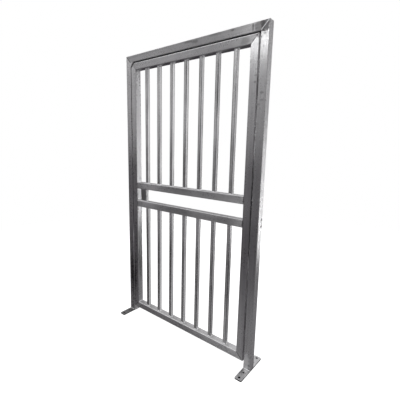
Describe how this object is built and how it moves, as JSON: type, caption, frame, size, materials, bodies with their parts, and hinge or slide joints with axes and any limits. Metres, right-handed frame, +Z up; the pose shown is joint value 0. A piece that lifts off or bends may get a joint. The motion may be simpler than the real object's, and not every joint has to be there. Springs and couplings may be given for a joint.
{
  "type": "turnstile side gate",
  "caption": "Galvanised square-tube pedestrian gate: a portal frame on two bolt-down plates with a barred leaf, two middle rails and a lock pocket.",
  "frame": {"origin": "centre of the underside of the hinge post's base plate", "axes": "+Z up; +X along the gate, from the latch post to the hinge post; +Y to the back, the side that the leaf opens to"},
  "size_m": [1.2, 0.27, 2.1],
  "materials": {
    "tube_steel": "hot-dip galvanised, satin",
    "bar_steel": "hot-dip galvanised, satin",
    "plate_steel": "hot-dip galvanised, matt",
    "hinge_steel": "hot-dip galvanised, matt"
  },
  "bodies": {
    "portal": {"hinge_post": "tube_steel", "latch_post": "tube_steel", "head_rail": "tube_steel", "corner_gusset": "tube_steel", "hinge_base_plate": "plate_steel", "latch_base_plate": "plate_steel", "upper_hinge_post_half": "hinge_steel", "lower_hinge_post_half": "hinge_steel"},
    "leaf": {"hinge_stile": "tube_steel", "latch_stile": "tube_steel", "leaf_top_rail": "tube_steel", "leaf_bottom_rail": "tube_steel", "upper_mid_rail": "tube_steel", "lower_mid_rail": "tube_steel", "lock_upright": "tube_steel", "leaf_corner_plate": "tube_steel", "upper_bar_1": "bar_steel", "upper_bar_2": "bar_steel", "upper_bar_3": "bar_steel", "upper_bar_4": "bar_steel", "upper_bar_5": "bar_steel", "upper_bar_6": "bar_steel", "upper_bar_7": "bar_steel", "lower_bar_1": "bar_steel", "lower_bar_2": "bar_steel", "lower_bar_3": "bar_steel", "lower_bar_4": "bar_steel", "lower_bar_5": "bar_steel", "lower_bar_6": "bar_steel", "lower_bar_7": "bar_steel", "upper_hinge_leaf_half": "hinge_steel", "lower_hinge_leaf_half": "hinge_steel"}
  },
  "joints": [
    {"name": "leaf_hinge", "type": "hinge", "parent": "portal", "child": "leaf", "pos_m": [-0.0295, 0.038, 0], "axis": [0, 0, -1], "range_deg": [0, 100]}
  ]
}
